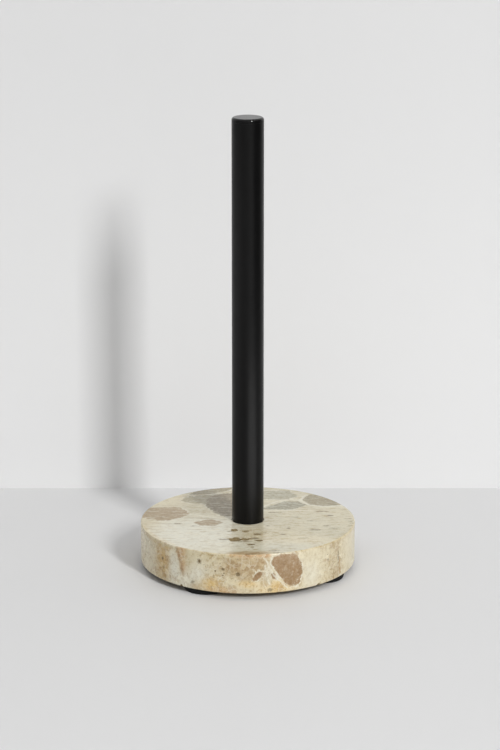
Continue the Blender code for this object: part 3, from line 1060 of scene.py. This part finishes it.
def finish_hardware():
    """The steel pieces inside keep their CAD shape and get their metals."""
    zinc = zinc_plate()
    finishes = [
        ("clamp_screw", zinc, "zinc_plated_steel"),
        ("spring_washer", zinc, "zinc_plated_steel"),
        ("flat_washer", zinc, "zinc_plated_steel"),
        ("threaded_plug", turned_steel(), "plain_steel"),
    ]
    for name, material, slot in finishes:
        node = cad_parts[name]
        node.data.materials.clear()
        node.data.materials.append(material)


# ---------------------------------------------------------------------------
# Stage, light and camera
# ---------------------------------------------------------------------------
# Paint of the floor and the wall, as reflectances at the foot and the head of each. The wall's
# paler foot is painted light, standing in for how light falls on it; the floor's paint is nearly
# even.
FLOOR_PAINT = (0.71, 0.72)
# The wall is painted paler at its foot than at its head: painted light, not a change in the paint
# itself.
WALL_PAINT_AND_PAINTED_FALLOFF = (0.82, 0.73)
BLACK_PAINT = (0.0, 0.0)
FLOOR_REACH = 4.0
WALL_DISTANCE = 0.171
WALL_REACH = 2.0
WALL_HEIGHT = 2.2
# A black flag to the right that only gloss picks up: it keeps that flank of the post dark.
FLAG_DISTANCE = 0.42
FLAG_FRONT = -0.5
FLAG_BACK = 0.12
FLAG_FOOT = 0.05
FLAG_HEAD = 0.6

# A light: name, azimuth and elevation in degrees, distance, width, height, watts.
KEY_AZIMUTH = 30.5
KEY_LIGHT = ("key", KEY_AZIMUTH, 32.0, 4.5, 0.5, 1.3, 121)
# Cards that only gloss picks up: they draw the soft upright highlights on the post.
GLOSS_LIGHTS = [
    ("card", KEY_AZIMUTH, -34, 0.20, 0.18, 0.10, 0.125),
    ("fill", -75, -7, 0.50, 0.50, 0.19, 0.18),
    ("upper_card", 24, -3, 0.40, 0.15, 0.22, 0.03),
]
HORIZON_LIGHT = 0.18
ZENITH_LIGHT = 0.78

# The camera looks along +Y, tilted down. The lens and the sensor are in millimetres.
CAMERA_LENS = 126.24
CAMERA_SENSOR = 36
CAMERA_PLACE = (1.5 * MM, -1.751, 0.6193)
CAMERA_TILT = 15.398


def plain_finish(name, paint_values, one_sided=False):
    """A grey paint that changes a little from its foot to its head. On the wall this change is
    painted light: paler towards the floor, standing in for how light falls there.

    One-sided, it can't be seen from behind.
    """
    foot, head = paint_values
    s = Shader(name)
    place = s.node("ShaderNodeTexCoord").outputs["Object"]
    lift = s.node("ShaderNodeSeparateXYZ", {0: place}).outputs["Z"]
    shade = s.add(s.rise(lift, 0.05, 0.45), s.span(s.noise(place, 3.0, 3.0, 0.5), -0.1, 0.1))
    color = s.mix(shade, (foot, foot, foot, 1), (head, head, head, 1))
    material = s.surface(Base_Color=color, Roughness=0.55, Specular_IOR_Level=0.25)
    if one_sided:
        shader = next(n for n in s.tree.nodes if n.type == "BSDF_PRINCIPLED")
        output = next(n for n in s.tree.nodes if n.type == "OUTPUT_MATERIAL")
        clear = s.node("ShaderNodeBsdfTransparent").outputs[0]
        back = s.node("ShaderNodeNewGeometry").outputs["Backfacing"]
        both = s.node("ShaderNodeMixShader", {0: back, 1: shader.outputs[0], 2: clear})
        s.tree.links.new(both.outputs[0], output.inputs["Surface"])
    return material


def quad(name, corners, finish):
    """A flat four-sided object."""
    return new_object(name, corners, [(0, 1, 2, 3)], [finish])


def make_stage():
    """A plain floor, a wall behind painted paler towards its foot as painted light, and the flag.
    """
    reach = FLOOR_REACH
    corners = [(-reach, -reach, 0), (reach, -reach, 0), (reach, reach, 0), (-reach, reach, 0)]
    floor = quad("floor", corners, plain_finish("floor_paint", FLOOR_PAINT))
    reach = WALL_REACH
    outline = [(-reach, 0), (reach, 0), (reach, WALL_HEIGHT), (-reach, WALL_HEIGHT)]
    corners = [(x, WALL_DISTANCE, z) for x, z in outline]
    # The wall's material paints it paler towards the floor, as painted light.
    wall = quad("wall", corners, plain_finish("wall_paint_and_painted_falloff", WALL_PAINT_AND_PAINTED_FALLOFF, one_sided=True))
    outline = [(FLAG_FRONT, FLAG_FOOT), (FLAG_BACK, FLAG_FOOT)]
    outline += [(FLAG_BACK, FLAG_HEAD), (FLAG_FRONT, FLAG_HEAD)]
    corners = [(FLAG_DISTANCE, y, z) for y, z in outline]
    flag = quad("flag", corners, plain_finish("flag_black", BLACK_PAINT))
    flag.visible_camera = False
    flag.visible_diffuse = False
    flag.visible_shadow = False


def aim(obj, target):
    """Turns the object so that its -Z looks at the target."""
    obj.rotation_euler = (Vector(target) - obj.location).to_track_quat("-Z", "Y").to_euler()


def area_light(name, azimuth, elevation, distance, wide, tall, watts):
    """A soft light, aimed at the middle of the post. Azimuth runs from the front to the right."""
    data = bpy.data.lights.new(name, "AREA")
    data.shape = "RECTANGLE"
    data.size = wide
    data.size_y = tall
    data.energy = watts
    light = bpy.data.objects.new(name, data)
    turn = math.radians(azimuth)
    lift = math.radians(elevation)
    middle = Vector((0, 0, CAP_HIGH.z / 2))
    level = math.cos(lift)
    ray = Vector((math.sin(turn) * level, -math.cos(turn) * level, math.sin(lift)))
    light.location = middle + ray * distance
    aim(light, middle)
    light.visible_camera = False
    bpy.context.scene.collection.objects.link(light)
    return light


def make_sky():
    """Soft white light from all round, brighter from above than from the horizon."""
    world = bpy.data.worlds.new("studio")
    world.use_nodes = True
    nodes = world.node_tree.nodes
    links = world.node_tree.links
    direction = nodes.new("ShaderNodeTexCoord")
    parts = nodes.new("ShaderNodeSeparateXYZ")
    strength = nodes.new("ShaderNodeMapRange")
    links.new(direction.outputs["Generated"], parts.inputs[0])
    links.new(parts.outputs["Z"], strength.inputs["Value"])
    strength.inputs["To Min"].default_value = HORIZON_LIGHT
    strength.inputs["To Max"].default_value = ZENITH_LIGHT
    background = nodes["Background"]
    background.inputs["Color"].default_value = (1, 1, 1, 1)
    links.new(strength.outputs["Result"], background.inputs["Strength"])
    return world


def make_light():
    """The key light, the gloss cards and the sky."""
    area_light(*KEY_LIGHT)
    for card in GLOSS_LIGHTS:
        area_light(*card).visible_diffuse = False
    bpy.context.scene.world = make_sky()
    bpy.context.scene.view_settings.view_transform = "Standard"


def make_camera():
    """The camera, in front of the object and a little above it."""
    data = bpy.data.cameras.new("camera")
    data.lens = CAMERA_LENS
    data.sensor_width = CAMERA_SENSOR
    camera = bpy.data.objects.new("camera", data)
    camera.location = CAMERA_PLACE
    camera.rotation_euler = (math.radians(90 - CAMERA_TILT), 0, 0)
    bpy.context.scene.collection.objects.link(camera)
    bpy.context.scene.camera = camera


# ---------------------------------------------------------------------------
# Everything, in order
# ---------------------------------------------------------------------------
make_camera()
rubber_material = rubber()
make_slab()
coat = powder_coat("black_powder_coat", roughness=0.32, specular=0.14)
make_post(coat)
make_cap(coat, powder_coat("black_powder_coat_cap", roughness=0.08, specular=0.30))
make_gasket(rubber_material)
make_feet(rubber_material)
finish_hardware()
make_stage()
make_light()
